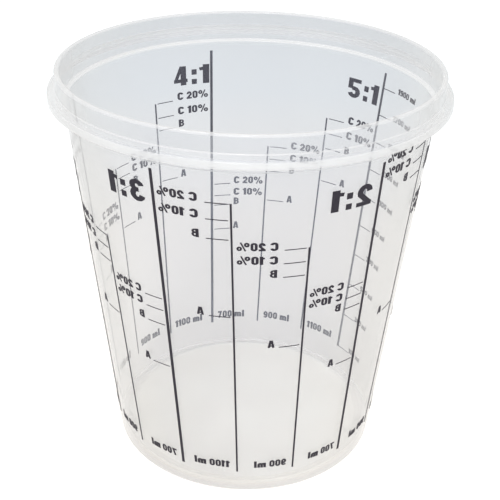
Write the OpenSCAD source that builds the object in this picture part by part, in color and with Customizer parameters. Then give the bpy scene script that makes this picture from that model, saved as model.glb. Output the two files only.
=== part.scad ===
// Resin mixing cup: one thin tapered moulding with printed mixing scales.
// The cup stands on its foot ring at z = 0, with its axis on Z.
// The scales are printed on the outside and are read from the inside,
// so they run clockwise when the cup is seen from above.

/* [Cup body] */
// Height from the table to the top of the lip
cup_h = 170; // [150:1:200]
// Outer diameter of the foot
foot_d = 116.4; // [100:0.2:130]
// Thickness of the tapered wall
wall_t = 1.1; // [0.8:0.1:1.8]
// Thickness of the floor
floor_t = 1.2; // [0.8:0.1:2.5]
// Height of the foot ring below the floor
foot_ring_h = 0.8; // [0.4:0.1:2]
// Width of the foot ring
foot_ring_w = 2.6; // [1.6:0.1:5]
// Outside radius at the bottom corner of the foot
foot_edge_r = 0.8; // [0.3:0.1:1.2]
// Inside radius where the wall meets the floor
floor_corner_r = 6; // [1:0.5:8]
// Diameter of the gate mark in the middle of the floor's underside
gate_d = 5; // [3:0.5:10]
// Depth of the gate mark
gate_depth = 0.4; // [0.2:0.1:0.6]

/* [Rim] */
// Outer diameter of the lip and of the straight collar below it
lip_d = 155.2; // [145:0.2:170]
// Thickness of the collar
collar_t = 2.2; // [1.4:0.1:3]
// Radius on both edges of the lip
lip_edge_r = 0.7; // [0.2:0.1:0.7]
// Depth of the inside ledge below the lip
ledge_drop = 13; // [12.5:0.5:20]
// Width of the inside ledge below the collar
ledge_w = 1.9; // [1.4:0.1:3]
// Thickness of the moulding under the ledge
ledge_t = 1.5; // [1:0.1:2.5]
// How far the flange stands out from the collar
flange_out = 3.2; // [2.4:0.1:6]
// Depth of the flange's root below the lip
flange_drop = 6.9; // [5:0.1:7.5]
// Fall of the flange's sloping top
flange_fall = 1.8; // [0.6:0.1:2.2]
// Height of the flange's outer band
flange_band = 2.8; // [2:0.1:3.2]
// Thickness of the flange's outer band
band_t = 1.4; // [0.8:0.1:2]
// Thickness of the flange's sloping top, measured along Z
flange_t = 1.7; // [1:0.1:1.9]

/* [Print] */
// Thickness of the printed film
film_t = 0.1; // [0.05:0.05:0.2]
// Width of the long bold lines
bold_w = 1.25; // [0.6:0.05:2]
// Width of the fine lines
fine_w = 0.75; // [0.3:0.05:1.2]
// Height of a tick
tick_w = 0.35; // [0.2:0.05:0.8]
// Reach of a ratio tick from the middle of its line
tick_len = 9.3; // [4:0.1:12]
// Gap between the edge of a ratio line and its ticks
tick_gap = 0.7; // [0.3:0.1:2]
// Length of a millilitre tick from the middle of its line
ml_tick_len = 8; // [4:0.1:12]
// Volume at the bottom end of every line, in millilitres
low_ml = 100; // [80:10:200]
// Gap from the top of the bold lines up to the ledge
top_gap = 4.7; // [3:0.1:10]
// Angle from one column to the next
column_pitch = 22.9; // [20:0.1:23.5]
// Angle of the first column, from +X
first_column = -2.2; // [-20:0.1:20]
// Lean of the print along its lines, tops towards smaller angles
print_lean = 1.2; // [0:0.1:3]
// Height at which a column stands at its own angle
print_ref_h = 79; // [60:1:100]
// Largest volume on the millilitre scale
scale_top_ml = 1900; // [1500:200:1900]
// Step of the millilitre scale
scale_step_ml = 200; // [100:100:400]

/* [Hidden] */
$fn = 96;
// Each mixing ratio: parts of A to one part of B, then one row for each
// of its columns. A row holds the amount of A, and how far the printed
// B, C 10 % and C 20 % marks stand above the true level, as measured.
RATIOS = [
    [1, [[700, 0, 0.6, 1], [900, 0, 0.6, 1]]],
    [2, [[700, 1.1, 1.1, 1.3], [900, 1, 1, 1], [1100, -2.4, -1.2, -1.2]]],
    [3, [[700, 2.7, 4.5, 4.9], [900, 2.7, 2.7, 2.4], [1100, 2.7, 2.7, 2.7]]],
    [4, [[700, 2.4, 2.4, 2.6], [900, 2.1, 1.6, 0.4], [1100, 5.8, 4.5, 4.2]]],
    [5, [[700, 1.9, 1.6, 2.4], [900, 1.9, 1.6, 1.6], [1100, 1, 1, 1]]]
];
// Thinner marks as shares of A
THINNER = [0.1, 0.2];

foot_r = foot_d / 2;
lip_r = lip_d / 2;
collar_in_r = lip_r - collar_t;
ledge_z = cup_h - ledge_drop;
wall_in_top_r = collar_in_r - ledge_w;
floor_z = foot_ring_h + floor_t;
flange_r = lip_r + flange_out;
flange_root_z = cup_h - flange_drop;
flange_edge_z = flange_root_z - flange_fall;
band_low_z = flange_edge_z - flange_band;
band_in_r = flange_r - band_t;
bold_top_z = ledge_z - top_gap;

// Slope of the wall: radius gained per millimetre of height
wall_slope = (wall_in_top_r + wall_t - foot_r) / ledge_z;
function wall_out_r(z) = foot_r + wall_slope * z;
function wall_in_r(z) = wall_out_r(z) - wall_t;
// Height of the flange's sloping underside at radius r
function flange_under_z(r) =
    flange_root_z - flange_t - flange_fall * (r - lip_r) / flange_out;

// Height of the liquid for a volume in millilitres, from the cup's own
// inside: a cone frustum whose smallest radius is at the floor.
function level_z(ml) =
    let (r0 = wall_in_r(floor_z))
    floor_z + (pow(3 * wall_slope * ml * 1000 / PI + pow(r0, 3), 1 / 3) - r0)
        / wall_slope;

// Points on an arc in the profile, centre c, radius r, from angle a to b
function arc(c, r, a, b, n = 6) =
    [for (i = [0 : n])
        let (t = a + (b - a) * i / n)
        [c[0] + r * cos(t), c[1] + r * sin(t)]];

// Lower left end of the wall's inside straight, where the corner arc starts
wall_angle = atan(wall_slope);
corner_c = [
    wall_in_r(floor_z + floor_corner_r) - floor_corner_r / cos(wall_angle),
    floor_z + floor_corner_r
];

module cup_profile() {
    polygon(concat(
        // underside of the floor, inside the foot ring
        [[0, foot_ring_h]],
        [[foot_r - foot_ring_w - foot_ring_h, foot_ring_h]],
        [[foot_r - foot_ring_w, 0]],
        arc([foot_r - foot_edge_r, foot_edge_r], foot_edge_r, -90, 0),
        // tapered wall, outside
        [[wall_out_r(foot_edge_r * 2), foot_edge_r * 2]],
        [[wall_out_r(ledge_z - ledge_t), ledge_z - ledge_t]],
        // collar and the flange's hollow underside
        [[lip_r, ledge_z - ledge_t / 2]],
        [[lip_r, flange_under_z(lip_r)]],
        [[band_in_r, flange_under_z(band_in_r)]],
        [[band_in_r, band_low_z]],
        [[flange_r, band_low_z]],
        [[flange_r, flange_edge_z]],
        [[lip_r, flange_root_z]],
        // lip
        arc([lip_r - lip_edge_r, cup_h - lip_edge_r], lip_edge_r, 0, 90),
        arc([collar_in_r + lip_edge_r, cup_h - lip_edge_r], lip_edge_r, 90, 180),
        // inside: collar, ledge, wall and floor
        [[collar_in_r, ledge_z]],
        [[wall_in_top_r, ledge_z]],
        arc(corner_c, floor_corner_r, -wall_angle, -90),
        [[0, floor_z]]
    ));
}

// Thin conical band of film lying on the outside of the wall
module film_band(z0, z1) {
    polygon([
        [wall_out_r(z0), z0],
        [wall_out_r(z0) + film_t, z0],
        [wall_out_r(z1) + film_t, z1],
        [wall_out_r(z1), z1]
    ]);
}

// Angle by which a leaning line has moved round the cup at height z
function lean_at(z) =
    asin((z - print_ref_h) * tan(print_lean) / wall_out_r(z));

// Space that one leaning line takes, at angle zero
module line_space(w) {
    translate([0, 0, print_ref_h])
        rotate([print_lean, 0, 0])
            translate([foot_r / 2, -w / 2, -cup_h])
                cube([flange_r, w, 2 * cup_h]);
}

// Space that one level tick takes beside its line, towards smaller
// angles, from one distance to another off the middle of the line
module tick_space(z, from, to) {
    rotate([0, 0, -lean_at(z)])
        translate([foot_r / 2, -to, z - tick_w / 2])
            cube([flange_r, to - from, tick_w]);
}

// One column of print at angle zero: the film of a line of width w that
// ends at top_z, with a tick at each height in marks
module column_film(marks, top_z, w, from, to) {
    intersection() {
        rotate_extrude()
            film_band(level_z(low_ml) - tick_w, top_z);
        union() {
            line_space(w);
            for (z = marks)
                tick_space(z, from, to);
        }
    }
}

function column_angle(i) = first_column - column_pitch * i;

// A ratio's column: i is its place round the cup, n its row in RATIOS
// and j its place among that ratio's columns. The first one is bold.
module ratio_column(i, n, j) {
    row = RATIOS[n][1][j];
    a = row[0];
    b = a + a / RATIOS[n][0];
    marks = [
        level_z(a),
        level_z(b) + row[1],
        level_z(b + THINNER[0] * a) + row[2],
        level_z(b + THINNER[1] * a) + row[3]
    ];
    w = (j == 0) ? bold_w : fine_w;
    top_z = (j == 0) ? bold_top_z : marks[len(marks) - 1] + tick_w / 2;
    color([0.16, 0.16, 0.2])
        rotate([0, 0, column_angle(i)])
            column_film(marks, top_z, w, w / 2 + tick_gap, tick_len);
}

// The millilitre scale, in the last column
module ml_column(i) {
    marks = [for (ml = [low_ml : scale_step_ml : scale_top_ml]) level_z(ml)];
    color([0.16, 0.16, 0.2])
        rotate([0, 0, column_angle(i)])
            column_film(marks, bold_top_z, bold_w, 0, ml_tick_len);
}

module cup() {
    color([0.86, 0.88, 0.9])
        difference() {
            rotate_extrude()
                cup_profile();
            translate([0, 0, foot_ring_h - 1])
                cylinder(d = gate_d, h = 1 + gate_depth);
        }
}

cup();
ratio_column(0, 0, 0);  // marks_1_1_700
ratio_column(1, 0, 1);  // marks_1_1_900
ratio_column(2, 1, 0);  // marks_2_1_700
ratio_column(3, 1, 1);  // marks_2_1_900
ratio_column(4, 1, 2);  // marks_2_1_1100
ratio_column(5, 2, 0);  // marks_3_1_700
ratio_column(6, 2, 1);  // marks_3_1_900
ratio_column(7, 2, 2);  // marks_3_1_1100
ratio_column(8, 3, 0);  // marks_4_1_700
ratio_column(9, 3, 1);  // marks_4_1_900
ratio_column(10, 3, 2);  // marks_4_1_1100
ratio_column(11, 4, 0);  // marks_5_1_700
ratio_column(12, 4, 1);  // marks_5_1_900
ratio_column(13, 4, 2);  // marks_5_1_1100
ml_column(14);  // marks_ml
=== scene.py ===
# %% [markdown]
# # A resin mixing cup in cloudy plastic
#
# The object is a tapered cup of natural polypropylene, a plastic that
# lets light through but is never quite clear. Dark scales are printed
# round its outside and are read from the inside, so from outside every
# letter is backward. The lesson builds three things: a turned body, a
# set of small printed letters bent onto a cone, and the finishes that
# make thin plastic look like thin plastic.

import math

import bmesh
import bpy
from mathutils import Matrix, Vector


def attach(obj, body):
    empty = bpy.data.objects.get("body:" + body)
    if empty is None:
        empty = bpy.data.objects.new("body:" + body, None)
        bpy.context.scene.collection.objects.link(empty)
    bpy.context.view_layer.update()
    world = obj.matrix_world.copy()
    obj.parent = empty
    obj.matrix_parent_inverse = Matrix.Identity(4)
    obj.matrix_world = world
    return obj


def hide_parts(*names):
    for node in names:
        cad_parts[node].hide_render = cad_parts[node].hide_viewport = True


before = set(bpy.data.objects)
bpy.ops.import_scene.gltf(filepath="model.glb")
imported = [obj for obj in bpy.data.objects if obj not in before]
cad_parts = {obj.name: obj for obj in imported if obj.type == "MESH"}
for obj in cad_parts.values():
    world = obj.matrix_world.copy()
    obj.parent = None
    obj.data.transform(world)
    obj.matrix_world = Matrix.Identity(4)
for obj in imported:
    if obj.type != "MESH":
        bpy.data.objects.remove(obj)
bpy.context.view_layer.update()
scene = bpy.context.scene
scene.view_settings.view_transform = "Standard"

# %% [markdown]
# ## Sizes of the real cup
#
# A turned object is told by its radii and heights. They are kept here
# in millimetres, because that is how a moulding is drawn, and each is
# the size that the CAD model has. R in a name stands for a radius, Z
# for a height above the foot, T for a thickness and W for a width. The
# wall is a straight taper, so one slope gives its radius at any
# height. The same slope gives the height of the liquid for a volume,
# which is what the printed marks show.

# %% Sizes in millimetres
MM = 0.001
CUP_H = 170.0
FOOT_R = 58.2
LIP_R = 77.6
WALL = 1.1
FLOOR_TOP = 2.0
GATE_R = 2.5
GATE_Z = 1.2
RING_H = 0.8
RING_W = 2.6
LEDGE_Z = 157.0
LEDGE_T = 1.5
COLLAR_IN_R = 75.4
WALL_TOP_IN_R = 73.5
FLANGE_R = 80.8
FLANGE_ROOT_Z = 163.1
FLANGE_EDGE_Z = 161.3
FLANGE_T = 1.7
BAND_LOW_Z = 158.5
BAND_IN_R = 79.4
FILM = 0.1
SLOPE = (WALL_TOP_IN_R + WALL - FOOT_R) / LEDGE_Z


def wall_radius(z):
    """Outside radius of the tapered wall at height z."""
    return FOOT_R + SLOPE * z


def liquid_height(ml):
    """Height of the liquid when the cup holds ml millilitres."""
    bottom = wall_radius(FLOOR_TOP) - WALL
    cube = 3 * SLOPE * ml * 1000 / math.pi + bottom**3
    return FLOOR_TOP + (cube ** (1 / 3) - bottom) / SLOPE


print("wall slope", round(SLOPE, 5), "height of 1900 ml", round(liquid_height(1900), 1), "mm")

# %% [markdown]
# ## The camera
#
# The photograph looks down into the cup at about 28 degrees from a
# short distance, so the mouth opens wide and the foot looks small. The
# camera stands where the photograph's camera stood: the ellipses of
# lip and foot fix its height, tilt and lens together.

# %% Camera
CAMERA_PLACE = (0, -0.3882, 0.2949)
CAMERA_PITCH = math.radians(28.38)
CAMERA_YAW = math.radians(0.16)
CAMERA_ROLL = math.radians(1.21)
CAMERA_LENS = 72.55

camera_data = bpy.data.cameras.new("camera")
camera_data.sensor_width = 36
camera_data.lens = CAMERA_LENS
camera = bpy.data.objects.new("camera", camera_data)
scene.collection.objects.link(camera)
camera.matrix_world = (
    Matrix.Translation(CAMERA_PLACE)
    @ Matrix.Rotation(-CAMERA_YAW, 4, "Z")
    @ Matrix.Rotation(math.pi / 2 - CAMERA_PITCH, 4, "X")
    @ Matrix.Rotation(CAMERA_ROLL, 4, "Z")
)
scene.camera = camera
print("camera at", CAMERA_PLACE, "lens", CAMERA_LENS, "mm")

# %% [markdown]
# ## Small helpers for node trees
#
# Every finish below is built from the same few nodes. Each helper adds
# one of them, joins it to what comes before and hands back the socket
# that the next step needs, so that a material reads like a recipe.

# %% Helpers for node trees
def link(tree, source, target):
    """Join two sockets of one node tree."""
    tree.links.new(source, target)


def new_material(name):
    """A material with only a Principled shader and its output."""
    material = bpy.data.materials.new(name)
    material.use_nodes = True
    shader = material.node_tree.nodes["Principled BSDF"]
    return material, material.node_tree, shader


def ramp(tree, value, low, high, out_low=0.0, out_high=1.0):
    """Stretch the part of a value between low and high to the outputs."""
    node = tree.nodes.new("ShaderNodeMapRange")
    node.inputs["From Min"].default_value = low
    node.inputs["From Max"].default_value = high
    node.inputs["To Min"].default_value = out_low
    node.inputs["To Max"].default_value = out_high
    link(tree, value, node.inputs["Value"])
    return node.outputs["Result"]


def calculated(tree, operation, value, other):
    """A Math node on a socket and on a number or a second socket."""
    node = tree.nodes.new("ShaderNodeMath")
    node.operation = operation
    link(tree, value, node.inputs[0])
    if isinstance(other, float):
        node.inputs[1].default_value = other
    else:
        link(tree, other, node.inputs[1])
    return node.outputs[0]


def mixed(tree, factor, start, end):
    """Go from one colour to another; each is a tuple or a socket."""
    node = tree.nodes.new("ShaderNodeMix")
    node.data_type = "RGBA"
    for name, colour in (("A", start), ("B", end)):
        if isinstance(colour, tuple):
            node.inputs[name].default_value = (*colour, 1)
        else:
            link(tree, colour, node.inputs[name])
    link(tree, factor, node.inputs["Factor"])
    return node.outputs["Result"]


def bumped(tree, shader, height, strength, distance):
    """Let a height, up to a distance in metres, feed the shader's Normal."""
    bump = tree.nodes.new("ShaderNodeBump")
    bump.inputs["Strength"].default_value = strength
    bump.inputs["Distance"].default_value = distance
    link(tree, height, bump.inputs["Height"])
    link(tree, bump.outputs["Normal"], shader.inputs["Normal"])


# %% Rays that are looked at
def seen_rays(tree):
    """A socket that is 1 for camera, glossy and transmission rays."""
    path = tree.nodes.new("ShaderNodeLightPath")
    total = path.outputs["Is Camera Ray"]
    for name in ("Is Glossy Ray", "Is Transmission Ray"):
        total = calculated(tree, "MAXIMUM", total, path.outputs[name])
    return total


# %% [markdown]
# ## Studio light
#
# Thin plastic shows mostly what stands behind it, so the surroundings
# are half of its look. The strongest lamp stands behind the camera, so
# that the shadow falls behind the cup. A weak one fills the right side
# and one overhead lights the floor inside the mouth. The world lights
# the cup at half strength, but it is white where it is looked at or
# shows in a reflection.

# %% World and lamps
AMBIENT = 0.5
AIM = (0, 0, 0.08)

world = bpy.data.worlds.new("studio")
scene.world = world
world.use_nodes = True
world_tree = world.node_tree
background = world_tree.nodes["Background"]
background.inputs["Color"].default_value = (1, 1, 1, 1)
level = ramp(world_tree, seen_rays(world_tree), 0.0, 1.0, AMBIENT, 1.0)
link(world_tree, level, background.inputs["Strength"])


def soft_lamp(name, place, aim, size, watts):
    """A square area lamp that looks at a point, all in metres."""
    data = bpy.data.lights.new(name, "AREA")
    data.shape = "SQUARE"
    data.size = size
    data.energy = watts
    lamp = bpy.data.objects.new(name, data)
    scene.collection.objects.link(lamp)
    away = Vector(aim) - Vector(place)
    turn = away.to_track_quat("-Z", "Y").to_matrix().to_4x4()
    lamp.matrix_world = Matrix.Translation(place) @ turn
    return lamp


soft_lamp("key", (-0.45, -2.5, 1.75), AIM, 0.9, 32)
soft_lamp("side_fill", (1.6, -1.0, 0.7), AIM, 0.8, 4)
soft_lamp("ceiling", (-0.3, 0.1, 1.7), (0, 0.05, 0.1), 0.7, 8)

# %% [markdown]
# ## A paper floor in two tones
#
# Behind the cup the photograph is pure white, yet through the plastic
# one sees the pale grey paper that it stood on. So the paper has a
# glow that lifts it to white, but only for a ray that reaches it in
# the open. A ray that went straight through the cup's plastic first,
# which the Light Path node counts as Transparent Depth, sees the paper
# as the lamps light it. The lamps' light falls off, so the glow grows
# with the distance from the cup. The paper also turns from warm to
# cool: the low wall is seen against its near part and the mouth
# against its far part, which looks bluer in the photograph.

# %% Floor
FLOOR_HALF = 6.0
FLOOR_GAP = 0.0002

floor_mesh = bpy.data.meshes.new("floor")
floor_bm = bmesh.new()
bmesh.ops.create_grid(floor_bm, x_segments=1, y_segments=1, size=FLOOR_HALF)
floor_bm.to_mesh(floor_mesh)
floor_bm.free()
floor = bpy.data.objects.new("floor", floor_mesh)
scene.collection.objects.link(floor)
floor.location.z = -FLOOR_GAP
print("floor is", 2 * FLOOR_HALF, "m wide")

# %% Paper of the floor
# distances from the cup's axis, in metres
GLOW_START, GLOW_END = 0.35, 3.0
COOLING_START, COOLING_END = 0.2, 0.45
GLOW_NEAR, GLOW_FAR = 0.34, 0.8
WARM_PAPER = (0.93, 0.9, 0.86)
COOL_PAPER = (0.83, 0.865, 0.885)

floor_paper, paper_tree, paper = new_material("floor_paper")
paper.inputs["Roughness"].default_value = 0.9
paper.inputs["Specular IOR Level"].default_value = 0.1
paper.inputs["Emission Color"].default_value = (1, 1, 1, 1)
place = paper_tree.nodes.new("ShaderNodeTexCoord")
length = paper_tree.nodes.new("ShaderNodeVectorMath")
length.operation = "LENGTH"
link(paper_tree, place.outputs["Object"], length.inputs[0])
distance = length.outputs["Value"]

cooling = ramp(paper_tree, distance, COOLING_START, COOLING_END)
tint = mixed(paper_tree, cooling, WARM_PAPER, COOL_PAPER)
link(paper_tree, tint, paper.inputs["Base Color"])

growing = ramp(paper_tree, distance, GLOW_START, GLOW_END, GLOW_NEAR, GLOW_FAR)
glow = calculated(paper_tree, "MULTIPLY", seen_rays(paper_tree), growing)
open_view = paper_tree.nodes.new("ShaderNodeLightPath")
# the depth is a whole number, 0 for a ray that has met no plastic yet
bare = calculated(paper_tree, "LESS_THAN", open_view.outputs["Transparent Depth"], 0.5)
bare_glow = calculated(paper_tree, "MULTIPLY", glow, bare)
link(paper_tree, bare_glow, paper.inputs["Emission Strength"])
floor_mesh.materials.append(floor_paper)
print("paper glows", GLOW_NEAR, "near the cup and", GLOW_FAR, "from", GLOW_END, "m on")

# %% [markdown]
# ## Effects that the finishes share
#
# Moulded plastic is never evenly clear. The melt leaves soft streaks
# that climb the wall and clouds that let less light through, the
# surface swells a little and keeps a faint grain from the mould, and
# handling leaves fine scuffs. The lighter and darker upright bands of
# the streaks are partly melt streaks and partly painted reflections of
# soft lamps. Each effect is a node group with named sockets, so that
# every finish can use it at its own strength. The noise of the streaks
# has hardly any fine detail, because sharp noise in see-through plastic
# shows as wiggly marks.

# %% Shader groups
def new_group(name, inputs, outputs):
    """A shader node group with float sockets of the given names."""
    group = bpy.data.node_groups.new(name, "ShaderNodeTree")
    sockets = group.interface
    for socket, value in inputs.items():
        made = sockets.new_socket(socket, in_out="INPUT", socket_type="NodeSocketFloat")
        made.default_value = value
    for socket in outputs:
        sockets.new_socket(socket, in_out="OUTPUT", socket_type="NodeSocketFloat")
    start = group.nodes.new("NodeGroupInput")
    end = group.nodes.new("NodeGroupOutput")
    return group, start, end


def placed(tree, group, values):
    """Place a group in a material, with values for its inputs."""
    node = tree.nodes.new("ShaderNodeGroup")
    node.node_tree = group
    for name, value in values.items():
        node.inputs[name].default_value = value
    return node


def object_noise(tree, scale, stretch, detail, roughness=0.5):
    """Noise on Object coordinates, stretched by a Mapping node."""
    coordinates = tree.nodes.new("ShaderNodeTexCoord")
    mapping = tree.nodes.new("ShaderNodeMapping")
    mapping.inputs["Scale"].default_value = stretch
    noise = tree.nodes.new("ShaderNodeTexNoise")
    noise.inputs["Detail"].default_value = detail
    noise.inputs["Roughness"].default_value = roughness
    link(tree, coordinates.outputs["Object"], mapping.inputs["Vector"])
    link(tree, mapping.outputs["Vector"], noise.inputs["Vector"])
    link(tree, scale, noise.inputs["Scale"])
    return noise.outputs["Fac"]


# %% Streaks of the melt
CLOUD_SIZE = 0.35

streaks, streaks_in, streaks_out = new_group(
    "melt_streaks_and_reflections", {"Scale": 60.0}, ["Streak", "Cloud", "Swell"]
)
streak_scale = streaks_in.outputs["Scale"]
# the streaks are partly melt flow and partly painted reflection bands
# long up the wall and narrow round it
streak_and_reflection = object_noise(streaks, streak_scale, (1, 1, 0.06), 1.0)
link(streaks, ramp(streaks, streak_and_reflection, 0.2, 0.8), streaks_out.inputs["Streak"])
# wide and nearly round
cloud_scale = calculated(streaks, "MULTIPLY", streak_scale, CLOUD_SIZE)
cloud = object_noise(streaks, cloud_scale, (1, 1, 0.7), 1.0)
link(streaks, ramp(streaks, cloud, 0.2, 0.8), streaks_out.inputs["Cloud"])
# a height for bump
swell = object_noise(streaks, streak_scale, (1, 1, 0.12), 0.0)
link(streaks, swell, streaks_out.inputs["Swell"])
print("melt streaks gives", [s.name for s in streaks_out.inputs if s.name])

# %% Grain and scuffs of the surface
SCUFF_SIZE = 0.12

grain, grain_in, grain_out = new_group(
    "surface_grain", {"Scale": 900.0, "Scuffs": 0.5}, ["Grain", "Scuff"]
)
grain_scale = grain_in.outputs["Scale"]
fine = object_noise(grain, grain_scale, (1, 1, 1), 2.0)
link(grain, ramp(grain, fine, 0.3, 0.7), grain_out.inputs["Grain"])
scuff_scale = calculated(grain, "MULTIPLY", grain_scale, SCUFF_SIZE)
scuff = object_noise(grain, scuff_scale, (1, 1, 0.35), 6.0, 0.7)
scuffs = calculated(grain, "MULTIPLY", ramp(grain, scuff, 0.58, 0.7), grain_in.outputs["Scuffs"])
link(grain, scuffs, grain_out.inputs["Scuff"])
print("surface grain gives", [s.name for s in grain_out.inputs if s.name])

# %% [markdown]
# ## Cloudy polypropylene
#
# A thin cloudy wall does three things at once. Most light passes
# straight through, so the print on the far side stays sharp: that is
# one minus the Alpha. A little is bent on its way: that is the
# Transmission Weight. The rest comes back as a pale veil: that is the
# Base Color. A slanted look passes through more plastic, so with the
# slant the Alpha grows and the veil turns white.
#
# How cloudy the plastic looks depends on its thickness. So the one
# moulding gets four finishes: a clear wall with a blue cast, a milky
# floor, a thicker rim, and whiter rounded edges. The white of the
# edges is partly more light caught in their thick plastic and partly
# painted highlight lines, with a painted glossy band on the flange's
# outer face. For rays on their way to a lamp each surface is a plain
# Transparent shader, because such a cup throws only a pale shadow.

# %% Polypropylene
SHADOW_PASS = (0.83, 0.825, 0.815, 1)
DEEP_WHITE = (0.93, 0.925, 0.915)
# painted reflection bands and melt streaks darken and lighten the veil
STREAK_AND_REFLECTION_DARK, STREAK_AND_REFLECTION_LIGHT = 0.94, 1.08
CLOUD_THIN, CLOUD_THICK = 0.93, 1.07
SCUFF_DULLS = 0.3
WHITENING_START, WHITENING_END = 0.15, 0.6
SLANT_POWER = 3.0


def polypropylene(name, veil, held, held_slanted, bent, dull, ripple, scuffs):
    """One of the cup's cloudy plastics.

    veil is its colour, held and held_slanted are its Alpha seen face on
    and along the surface, and bent is the share of light that is bent.
    dull is its roughness, ripple its bump and scuffs how worn it is.
    """
    material, tree, shader = new_material(name)
    shader.inputs["IOR"].default_value = 1.49
    shader.inputs["Transmission Weight"].default_value = bent
    melt = placed(tree, streaks, {"Scale": 45.0})
    skin = placed(tree, grain, {"Scale": 900.0, "Scuffs": scuffs})
    facing = tree.nodes.new("ShaderNodeLayerWeight")
    facing.inputs["Blend"].default_value = 0.5

    dark = tuple(c * STREAK_AND_REFLECTION_DARK for c in veil)
    light = tuple(min(1.0, c * STREAK_AND_REFLECTION_LIGHT) for c in veil)
    # veil lighter and darker in upright bands: melt streaks and painted reflections
    shade = mixed(tree, melt.outputs["Streak"], dark, light)
    whitening = ramp(tree, facing.outputs["Facing"], WHITENING_START, WHITENING_END)
    link(tree, mixed(tree, whitening, shade, DEEP_WHITE), shader.inputs["Base Color"])

    scuffed = ramp(tree, skin.outputs["Scuff"], 0.0, 1.0, dull, dull + SCUFF_DULLS)
    link(tree, scuffed, shader.inputs["Roughness"])
    bumped(tree, shader, melt.outputs["Swell"], ripple, 0.0001)

    slant = calculated(tree, "POWER", facing.outputs["Facing"], SLANT_POWER)
    thickness = ramp(tree, slant, 0.0, 1.0, held, held_slanted)
    clouds = ramp(tree, melt.outputs["Cloud"], 0.0, 1.0, CLOUD_THIN, CLOUD_THICK)
    link(tree, calculated(tree, "MULTIPLY", thickness, clouds), shader.inputs["Alpha"])

    shadow = tree.nodes.new("ShaderNodeBsdfTransparent")
    shadow.inputs["Color"].default_value = SHADOW_PASS
    path = tree.nodes.new("ShaderNodeLightPath")
    mix = tree.nodes.new("ShaderNodeMixShader")
    link(tree, path.outputs["Is Shadow Ray"], mix.inputs["Fac"])
    link(tree, shader.outputs["BSDF"], mix.inputs[1])
    link(tree, shadow.outputs["BSDF"], mix.inputs[2])
    link(tree, mix.outputs["Shader"], tree.nodes["Material Output"].inputs["Surface"])
    return material


# %% The four plastics of the cup
wall_plastic = polypropylene(
    "polypropylene_wall",
    veil=(0.74, 0.8, 0.99),
    held=0.08,
    held_slanted=0.7,
    bent=0.1,
    dull=0.06,
    ripple=0.05,
    scuffs=0.2,
)
floor_plastic = polypropylene(
    "polypropylene_floor",
    veil=(0.96, 0.93, 0.885),
    held=0.54,
    held_slanted=0.65,
    bent=0.0,
    dull=0.3,
    ripple=0.0,
    scuffs=0.05,
)
rim_plastic = polypropylene(
    "polypropylene_rim",
    veil=(0.72, 0.745, 0.8),
    held=0.19,
    held_slanted=0.75,
    bent=0.05,
    dull=0.2,
    ripple=0.0,
    scuffs=0.2,
)
# whiter veil of the edges: light caught in thick plastic and painted highlight lines
edge_highlight_plastic = polypropylene(
    "polypropylene_edge_highlight",
    veil=(0.95, 0.95, 0.96),
    held=0.42,
    held_slanted=0.75,
    bent=0.0,
    dull=0.12,
    ripple=0.0,
    scuffs=0.1,
)
cup_plastics = [wall_plastic, rim_plastic, edge_highlight_plastic, floor_plastic]
print("plastics", [plastic.name for plastic in cup_plastics])

# %% [markdown]
# ## Screen print
#
# The ink is a thin matt film, not quite black, with a cool cast. Where
# the screen has left it thin it is a little paler, and its surface has
# a fine tooth that takes away any sharp reflection. The printed lines
# and ticks are CAD parts whose shape is right, so they stay and only
# get this finish.

# %% Ink
THICK_INK = (0.027, 0.024, 0.033)
THIN_INK = (0.047, 0.042, 0.055)

ink, ink_tree, ink_shader = new_material("ink")
ink_shader.inputs["Specular IOR Level"].default_value = 0.15
ink_grain = placed(ink_tree, grain, {"Scale": 1500.0, "Scuffs": 0.3})
tooth = ink_grain.outputs["Grain"]
ink_shade = mixed(ink_tree, tooth, THICK_INK, THIN_INK)
link(ink_tree, ink_shade, ink_shader.inputs["Base Color"])
ink_dull = ramp(ink_tree, ink_grain.outputs["Scuff"], 0.0, 1.0, 0.55, 0.75)
link(ink_tree, ink_dull, ink_shader.inputs["Roughness"])
bumped(ink_tree, ink_shader, tooth, 0.2, 0.00005)

for name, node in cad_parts.items():
    if name.startswith("marks_"):
        node.material_slots[0].material = ink
print("inked nodes", sum(n.startswith("marks_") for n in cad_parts))

# %% [markdown]
# ## The turned body
#
# The cup is one moulding, and every part of it is round, so its half
# section is drawn once and spun about the upright axis. The section's
# corners start sharp. A vertex bevel on the wire rounds each one by
# its own radius before the spin, which is cheaper and cleaner than
# rounding the finished solid.

# %% Half section of the cup
def underside(r):
    """Height of the flange's sloping underside at radius r."""
    fall = FLANGE_ROOT_Z - FLANGE_EDGE_Z
    return FLANGE_ROOT_Z - FLANGE_T - fall * (r - LIP_R) / (FLANGE_R - LIP_R)


LEDGE_LOW_Z = LEDGE_Z - LEDGE_T

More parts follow.
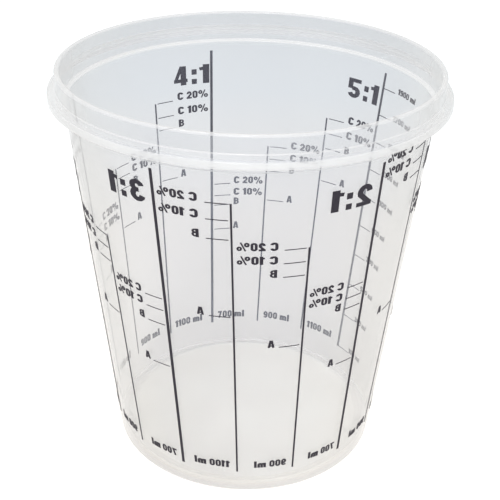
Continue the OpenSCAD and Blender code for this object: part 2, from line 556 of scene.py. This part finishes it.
# Each corner is (radius, height, rounding), from the underside's middle
# out and up the outside, over the lip and down the inside to the floor.
section = [
    (0, GATE_Z, 0),
    (GATE_R, GATE_Z, 0.12),
    (GATE_R, RING_H, 0.15),
    (FOOT_R - RING_W - RING_H, RING_H, 0.2),
    (FOOT_R - RING_W, 0, 0.2),
    (FOOT_R, 0, 0.8),
    (wall_radius(LEDGE_LOW_Z), LEDGE_LOW_Z, 0.5),
    (LIP_R, LEDGE_Z - LEDGE_T / 2, 0.3),
    (LIP_R, underside(LIP_R), 0.3),
    (BAND_IN_R, underside(BAND_IN_R), 0.3),
    (BAND_IN_R, BAND_LOW_Z, 0.35),
    (FLANGE_R, BAND_LOW_Z, 0.45),
    (FLANGE_R, FLANGE_EDGE_Z, 0.7),
    (LIP_R, FLANGE_ROOT_Z, 0.6),
    (LIP_R, CUP_H, 0.8),
    (COLLAR_IN_R, CUP_H, 0.8),
    (COLLAR_IN_R, LEDGE_Z, 0.5),
    (WALL_TOP_IN_R, LEDGE_Z, 0.5),
    (wall_radius(FLOOR_TOP) - WALL, FLOOR_TOP, 6.0),
    (0, FLOOR_TOP, 0),
]
print("corners of the half section", len(section))

# %% Round the section and spin it
CORNER_SEGMENTS = 4
SPIN_STEPS = 240
MERGE = 1e-6
SHARP = math.radians(40)


def turned(name, corners):
    """Round a half section's corners and spin it into a closed solid."""
    bm = bmesh.new()
    points = [bm.verts.new((r * MM, 0, z * MM)) for r, z, _ in corners]
    for a, b in zip(points, points[1:]):
        bm.edges.new((a, b))
    for point, (_, _, radius) in zip(points, corners):
        if radius:
            # the bevel's offset runs along the edges, so it is the
            # radius times the tangent of half the turn
            a, b = [e.other_vert(point).co - point.co for e in point.link_edges]
            half_turn = (math.pi - a.angle(b)) / 2
            bmesh.ops.bevel(
                bm,
                geom=[point],
                offset=radius * MM * math.tan(half_turn),
                offset_type="OFFSET",
                segments=CORNER_SEGMENTS,
                profile=0.5,
                affect="VERTICES",
                material=-1,
            )
    bmesh.ops.spin(
        bm,
        geom=bm.verts[:] + bm.edges[:],
        cent=(0, 0, 0),
        axis=(0, 0, 1),
        angle=math.tau,
        steps=SPIN_STEPS,
        use_merge=True,
        use_duplicate=False,
    )
    bmesh.ops.remove_doubles(bm, verts=bm.verts, dist=MERGE)
    bmesh.ops.recalc_face_normals(bm, faces=bm.faces)
    mesh = bpy.data.meshes.new(name)
    bm.to_mesh(mesh)
    bm.free()
    piece = bpy.data.objects.new(name, mesh)
    scene.collection.objects.link(piece)
    return piece


cup_shell = turned("cup_shell", section)
cup_mesh = cup_shell.data
print("cup shell", len(cup_mesh.vertices), "points", len(cup_mesh.polygons), "faces")

# %% [markdown]
# ## Which face has which plastic
#
# A face picks its plastic by where it lies in the section. Everything
# from the ledge up is rim. The floor is told by height and radius, so
# that the corner round it stays as clear as the wall. The white edges
# are small circles in the section, each given by radius, height and
# reach: the lip, both ends of the ledge, the root and the edge of the
# flange, its outer band and the foot. Their white is partly light
# caught in thick plastic and partly painted highlight; on the outer
# band it is a painted glossy band.

# %% Plastics of the body
RIM_LOW_Z = LEDGE_LOW_Z - 0.6
MILKY_R = FOOT_R - 7
MILKY_Z = FLOOR_TOP + 0.5
# circles that get the edges' painted highlight, partly light caught in thick plastic
EDGE_HIGHLIGHT_SPOTS = [
    (LIP_R - 1.1, CUP_H - 0.3, 1.3),
    (COLLAR_IN_R - 0.4, LEDGE_Z, 0.7),
    (WALL_TOP_IN_R + 0.1, LEDGE_Z - 0.1, 0.55),
    (LIP_R + 0.1, FLANGE_ROOT_Z, 0.6),
    (FLANGE_R - 0.2, FLANGE_EDGE_Z - 0.2, 0.8),
    (FLANGE_R, (BAND_LOW_Z + FLANGE_EDGE_Z) / 2, 1.7),
    (FOOT_R - 0.2, 0.4, 0.9),
]


def plastic_at(r, z):
    """The plastic at a radius and a height of the section."""
    if any(math.hypot(r - spot_r, z - spot_z) < reach for spot_r, spot_z, reach in EDGE_HIGHLIGHT_SPOTS):
        return edge_highlight_plastic
    if r < MILKY_R and z < MILKY_Z:
        return floor_plastic
    return rim_plastic if z > RIM_LOW_Z else wall_plastic


for plastic in cup_plastics:
    cup_mesh.materials.append(plastic)
for face in cup_mesh.polygons:
    face.use_smooth = True
    r, z = math.hypot(face.center.x, face.center.y) / MM, face.center.z / MM
    face.material_index = cup_plastics.index(plastic_at(r, z))
cup_mesh.set_sharp_from_angle(angle=SHARP)
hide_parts("cup")
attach(cup_shell, "root")
slots = [face.material_index for face in cup_mesh.polygons]
print("faces of each plastic", [slots.count(i) for i in range(len(cup_plastics))])

# %% [markdown]
# ## Letters drawn as strokes
#
# The printed letters are a heavy narrow face. No font is needed for
# so few signs: each is a handful of strokes, as a sign writer would
# pull them. A stroke is a wire that is extruded into a ribbon and then
# thickened to both sides by a Solidify modifier, which keeps its width
# even round corners. Every sign is drawn in a cell one unit high, and
# t is the width of its stems in that unit. Round strokes are thinner
# than stems, as in most printed faces, and the strokes of A, B and the
# percent sign thinner still, so that their small holes stay open.

# %% Strokes
def bow(cx, cy, rx, ry, start, end, steps=9):
    """Points on an arc of an ellipse, angles in degrees."""
    span = [math.radians(start + (end - start) * i / steps) for i in range(steps + 1)]
    return [(cx + rx * math.cos(a), cy + ry * math.sin(a)) for a in span]


def ribbon(points, width, closed=False):
    """One stroke as a mesh: a bar of that width and one unit deep."""
    bm = bmesh.new()
    wire = [bm.verts.new((x, y, 0)) for x, y in points]
    pairs = list(zip(wire, wire[1:])) + ([(wire[-1], wire[0])] if closed else [])
    edges = [bm.edges.new(pair) for pair in pairs]
    raised = bmesh.ops.extrude_edge_only(bm, edges=edges)
    tops = [g for g in raised["geom"] if isinstance(g, bmesh.types.BMVert)]
    bmesh.ops.translate(bm, verts=tops, vec=(0, 0, 1))
    mesh = bpy.data.meshes.new("stroke")
    bm.to_mesh(mesh)
    bm.free()
    holder = bpy.data.objects.new("stroke", mesh)
    scene.collection.objects.link(holder)
    solid = holder.modifiers.new("width", "SOLIDIFY")
    solid.thickness = width
    solid.offset = 0
    solid.use_even_offset = True
    depsgraph = bpy.context.evaluated_depsgraph_get()
    made = bpy.data.meshes.new_from_object(holder.evaluated_get(depsgraph))
    bpy.data.objects.remove(holder)
    bpy.data.meshes.remove(mesh)
    return made


# %% Figures
FIGURE_CELL = 0.52
MIDDLE = 0.54


def figure_strokes(sign, w, t):
    """Strokes of a figure in a cell w wide: (points, width, closed)."""
    round_t = t * 0.82
    edge = round_t / 2
    top, low, cx, rx, right = 1 - edge, edge, w / 2, (w - round_t) / 2, w - t / 2
    ry = rx * 1.1
    if sign == "0":
        loop = bow(cx, top - ry, rx, ry, 0, 180) + bow(cx, low + ry, rx, ry, 180, 360)
        return [(loop, round_t, True)]
    if sign == "1":
        return [([(right, 0), (right, 1)], t), ([(right, 0.81), (0, 0.77)], t * 0.7)]
    if sign == "2":
        ry = 0.26
        arc = bow(cx, top - ry, rx, ry, 178, -24) + [(edge * 1.1, edge * 1.5)]
        return [(arc, round_t), ([(0, low), (w, low)], round_t)]
    if sign == "3":
        waist = [(w * 0.4, MIDDLE)]
        upper_ry, lower_ry = (top - MIDDLE) / 2, (MIDDLE - low) / 2
        upper = bow(cx, MIDDLE + upper_ry, rx * 0.96, upper_ry, 172, -90) + waist
        lower = waist + bow(cx, low + lower_ry, rx, lower_ry, 90, -172)
        return [(upper, round_t), (lower, round_t)]
    if sign == "4":
        stem = w * 0.7
        diagonal = [(w * 0.13, 0.25), (w * 0.58, 1)]
        bar = [(0, 0.24), (w, 0.24)]
        return [([(stem, 0), (stem, 1)], t * 0.9), (bar, t * 0.78), (diagonal, t * 0.56)]
    if sign == "5":
        bowl_top = 0.6 - edge
        bowl = bow(cx, (bowl_top + low) / 2, rx, (bowl_top - low) / 2, 128, -165)
        return [([(w, top), (edge, top), (edge, 0.47)], round_t), (bowl, round_t)]
    if sign == "7":
        return [([(0, top), (right - 0.01, top), (w * 0.33, 0)], round_t)]
    if sign == "9":
        eye_low = 0.42
        eye_z = (top + eye_low) / 2
        eye = bow(cx, eye_z, rx, (top - eye_low) / 2, 0, 360)[:-1]
        tail = [(w - edge, eye_z)] + bow(cx, low + ry, rx, ry, 0, -165)
        return [(eye, round_t, True), (tail, round_t)]
    return []


print("strokes in each figure", [(f, len(figure_strokes(f, FIGURE_CELL, 0.2))) for f in "01234579"])


# %% Letters, colon and percent sign
LOW_CASE = 0.72


def letter_strokes(sign, w, t):
    """Strokes of a letter, or of a colon or percent sign."""
    h = t / 2
    round_t = t * 0.82
    edge = round_t / 2
    top, low, cx, rx = 1 - edge, edge, w / 2, (w - round_t) / 2
    if sign == "A":
        foot = h * 0.85
        left_leg = [(foot, 0), (cx - 0.04, 1)]
        right_leg = [(w - foot, 0), (cx + 0.04, 1)]
        bar = [(w * 0.2, 0.25), (w * 0.8, 0.25)]
        return [(left_leg, t * 0.8), (right_leg, t * 0.8), (bar, t * 0.6)]
    if sign == "B":
        r, s = (top - MIDDLE) / 2, (MIDDLE - low) / 2
        upper_bow = bow(w - edge - r - 0.02, top - r, r, r, 90, -90)
        lower_bow = bow(w - edge - s, MIDDLE - s, s, s, 90, -90)
        upper = [(h, top)] + upper_bow + [(h, MIDDLE)]
        lower = [(h, MIDDLE)] + lower_bow + [(h, low)]
        bowl_t = round_t * 0.84
        return [([(h, 0), (h, 1)], t * 0.9), (upper, bowl_t), (lower, bowl_t)]
    if sign == "C":
        ry = rx * 1.05
        arc = bow(cx, top - ry, rx, ry, 4, 180) + bow(cx, low + ry, rx, ry, 180, 356)
        return [(arc, t * 0.92)]
    if sign == "%":
        return [
            (bow(0.2, 0.74, 0.13, 0.19, 0, 360)[:-1], t * 0.66, True),
            (bow(0.75, 0.26, 0.13, 0.19, 0, 360)[:-1], t * 0.62, True),
            ([(0.3, -0.02), (0.65, 1.02)], t * 0.5),
        ]
    if sign == "m":
        r = (w - t) / 4
        left_arch = bow(h + r, LOW_CASE - h - r, r, r, 180, 0) + [(w / 2, 0)]
        right_arch = bow(w / 2 + r, LOW_CASE - h - r, r, r, 180, 0) + [(w - h, 0)]
        return [([(h, 0), (h, LOW_CASE)], t), (left_arch, t), (right_arch, t)]
    if sign == "l":
        return [([(h, 0), (h, 1)], t)]
    if sign == ":":
        return [([(0, 0.135), (w, 0.135)], 0.27), ([(0, 0.64), (w, 0.64)], 0.28)]
    return []


print("strokes in each letter", [(f, len(letter_strokes(f, 0.6, 0.2))) for f in "ABCml:%"])

# %% Each sign is drawn once
SIGN_CELLS = {"1": 0.36, "A": 0.62, "B": 0.56, "C": 0.58, "%": 0.95, "m": 0.84, ":": 0.2, " ": 0.2}

drawn_signs = {}


def sign_meshes(sign, t):
    """Width of a sign's cell and the meshes of its strokes."""
    if (sign, t) not in drawn_signs:
        # an l is a single stem, so its cell is as wide as that
        w = t if sign == "l" else SIGN_CELLS.get(sign, FIGURE_CELL)
        strokes = figure_strokes(sign, w, t) + letter_strokes(sign, w, t)
        drawn_signs[sign, t] = w, [ribbon(*stroke) for stroke in strokes]
    return drawn_signs[sign, t]


print("signs with a cell of their own", len(SIGN_CELLS))

# %% [markdown]
# ## Setting words and bending them onto the cone
#
# A word is set flat first: x runs to the reader's right, y is its
# height on the wall and z its depth. It is then cut every two
# millimetres so that it can bend, and each point is moved to its
# place on the cone. The reader stands inside, so right is towards
# smaller angles. The print was made flat for the cone too, so words
# grow with the radius: a length is told at 70 mm from the axis. The
# letters are a little deeper than the film of ink, so that their backs
# lie in the wall and no gap shows.

# %% Place of the print on the cone
PRINT_R = 70.0
FIRST_COLUMN = -2.2
COLUMN_PITCH = 22.9
PRINT_LEAN = math.radians(1.2)
LEAN_REF_Z = 79.0


def line_angle(column, z):
    """Angle of a column's line at height z, in radians."""
    lean = math.asin((z - LEAN_REF_Z) * math.tan(PRINT_LEAN) / wall_radius(z))
    return math.radians(FIRST_COLUMN - COLUMN_PITCH * column) - lean


print("columns are", round(math.radians(COLUMN_PITCH) * PRINT_R, 1), "mm apart in the print")

# %% Set a column's words and bend them
SIGN_GAP = 0.07
LETTER_DEPTH = FILM * 1.1
BEND_EVERY = 2.0


def set_word(bm, word, left, base, width, height, weight):
    """Add a word to a flat mesh, with its lower left corner at left, base."""
    signs = [sign_meshes(sign, weight) for sign in word]
    natural = sum(w for w, _ in signs) + SIGN_GAP * (len(signs) - 1)
    size = Matrix.Diagonal((width / natural, height, LETTER_DEPTH, 1))
    corner = Matrix.Translation((left, base, 0))
    pen = 0.0
    for sign_width, strokes in signs:
        place = corner @ size @ Matrix.Translation((pen, 0, 0))
        for stroke in strokes:
            before = set(bm.verts)
            bm.from_mesh(stroke)
            new = [v for v in bm.verts if v not in before]
            bmesh.ops.transform(bm, matrix=place, verts=new)
        pen += sign_width + SIGN_GAP


def printed(name, column, words):
    """Make words (text, left, base, width, height, weight) of a column."""
    bm = bmesh.new()
    for word in words:
        set_word(bm, *word)
    reach = max(v.co.x for v in bm.verts)
    cut = BEND_EVERY
    while cut < reach:
        whole = bm.verts[:] + bm.edges[:] + bm.faces[:]
        bmesh.ops.bisect_plane(bm, geom=whole, plane_co=(cut, 0, 0), plane_no=(1, 0, 0))
        cut += BEND_EVERY
    for v in bm.verts:
        u, z, depth = v.co
        angle = line_angle(column, z) - u / PRINT_R
        r = wall_radius(z) + FILM - depth
        v.co = Vector((r * math.cos(angle), r * math.sin(angle), z)) * MM
    bmesh.ops.recalc_face_normals(bm, faces=bm.faces)
    mesh = bpy.data.meshes.new(name)
    bm.to_mesh(mesh)
    bm.free()
    mesh.materials.append(ink)
    piece = bpy.data.objects.new(name, mesh)
    scene.collection.objects.link(piece)
    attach(piece, "root")
    return piece


# %% [markdown]
# ## The scales' words
#
# Each ratio column names its marks A, B, C 10% and C 20%, beside the
# short ticks of the printed film, and gives the amount of A at its
# foot. The heights repeat the ones of the CAD model: the level of the
# liquid at each mark, and a small lift measured on the real print.
# The last column is a plain scale in millilitres, in smaller type.

# %% Words of the ratio columns
# parts of A to one of B, then rows of the amount of A in millilitres and
# the lifts of B, C 10% and C 20% in millimetres
RATIOS = [
    (1, [(700, 0, 0.6, 1), (900, 0, 0.6, 1)]),
    (2, [(700, 1.1, 1.1, 1.3), (900, 1, 1, 1), (1100, -2.4, -1.2, -1.2)]),
    (3, [(700, 2.7, 4.5, 4.9), (900, 2.7, 2.7, 2.4), (1100, 2.7, 2.7, 2.7)]),
    (4, [(700, 2.4, 2.4, 2.6), (900, 2.1, 1.6, 0.4), (1100, 5.8, 4.5, 4.2)]),
    (5, [(700, 1.9, 1.6, 2.4), (900, 1.9, 1.6, 1.6), (1100, 1, 1, 1)]),
]
LETTER_H = 3.5
LETTER_WEIGHT = 0.255
LETTER_LEFT = 11.55
LETTER_WIDTHS = {"A": 2.95, "B": 2.85, "C 10%": 14.75, "C 20%": 14.75}
AMOUNT_H = 3.7
AMOUNT_LEFT = 3.5
AMOUNT_BASE = 13.4
AMOUNT_WIDTHS = {700: 16.1, 900: 16.1, 1100: 18.0}

column = 0
printed_words = []
for parts, rows in RATIOS:
    for amount, lift_b, lift_10, lift_20 in rows:
        both = amount + amount / parts
        levels = {
            "A": liquid_height(amount),
            "B": liquid_height(both) + lift_b,
            "C 10%": liquid_height(both + 0.1 * amount) + lift_10,
            "C 20%": liquid_height(both + 0.2 * amount) + lift_20,
        }
        words = [
            (word, LETTER_LEFT, z, LETTER_WIDTHS[word], LETTER_H, LETTER_WEIGHT)
            for word, z in levels.items()
        ]
        amount_place = (AMOUNT_LEFT, AMOUNT_BASE, AMOUNT_WIDTHS[amount], AMOUNT_H)
        words.append((f"{amount} ml", *amount_place, LETTER_WEIGHT))
        printed_words.append(printed(f"words_{parts}_1_{amount}", column, words))
        column += 1
print("ratio columns", column)

# %% Words of the millilitre column
ML_H = 2.6
ML_WEIGHT = 0.225
ML_LEFT = 9.6
ML_LIFT = 0.2
ML_WIDTH = 11.9
ML_WIDTH_FROM_1000 = 13.85

ml_words = []
for ml in range(100, 2000, 200):
    width = ML_WIDTH if ml < 1000 else ML_WIDTH_FROM_1000
    ml_words.append((f"{ml} ml", ML_LEFT, liquid_height(ml) + ML_LIFT, width, ML_H, ML_WEIGHT))
printed_words.append(printed("words_ml", column, ml_words))
print("words on the millilitre column", len(ml_words))

# %% [markdown]
# ## The ratios' names
#
# Each group of columns is headed by its ratio in large black figures
# under the rim. They are drawn with the same strokes, but spread wider
# for their height, so that the stems come out nearly three millimetres
# wide. Figure, colon and one are set one by one, because the gaps
# between them are wider than between letters.

# %% Headings
HEADING_H = 8.9
HEADING_WEIGHT = 0.235
FIGURE_W = 6.6
COLON_AT, COLON_W = 8.6, 2.4
ONE_AT, ONE_W = 12.3, 4.6
# parts of A, column, left and base
HEADINGS = [
    (1, 0, 4.1, 136.6),
    (2, 2, 4.1, 136.5),
    (3, 5, 3.3, 137.2),
    (4, 10, 10.1, 137.2),
    (5, 13, 8.8, 136.5),
]
for parts, heading_column, left, base in HEADINGS:
    words = [
        (str(parts), left, base, FIGURE_W, HEADING_H, HEADING_WEIGHT),
        (":", left + COLON_AT, base, COLON_W, HEADING_H, HEADING_WEIGHT),
        ("1", left + ONE_AT, base, ONE_W, HEADING_H, HEADING_WEIGHT),
    ]
    printed_words.append(printed(f"heading_{parts}_1", heading_column, words))
triangles = sum(len(p.vertices) - 2 for o in printed_words for p in o.data.polygons)
print("pieces of print", len(printed_words), "triangles", triangles)
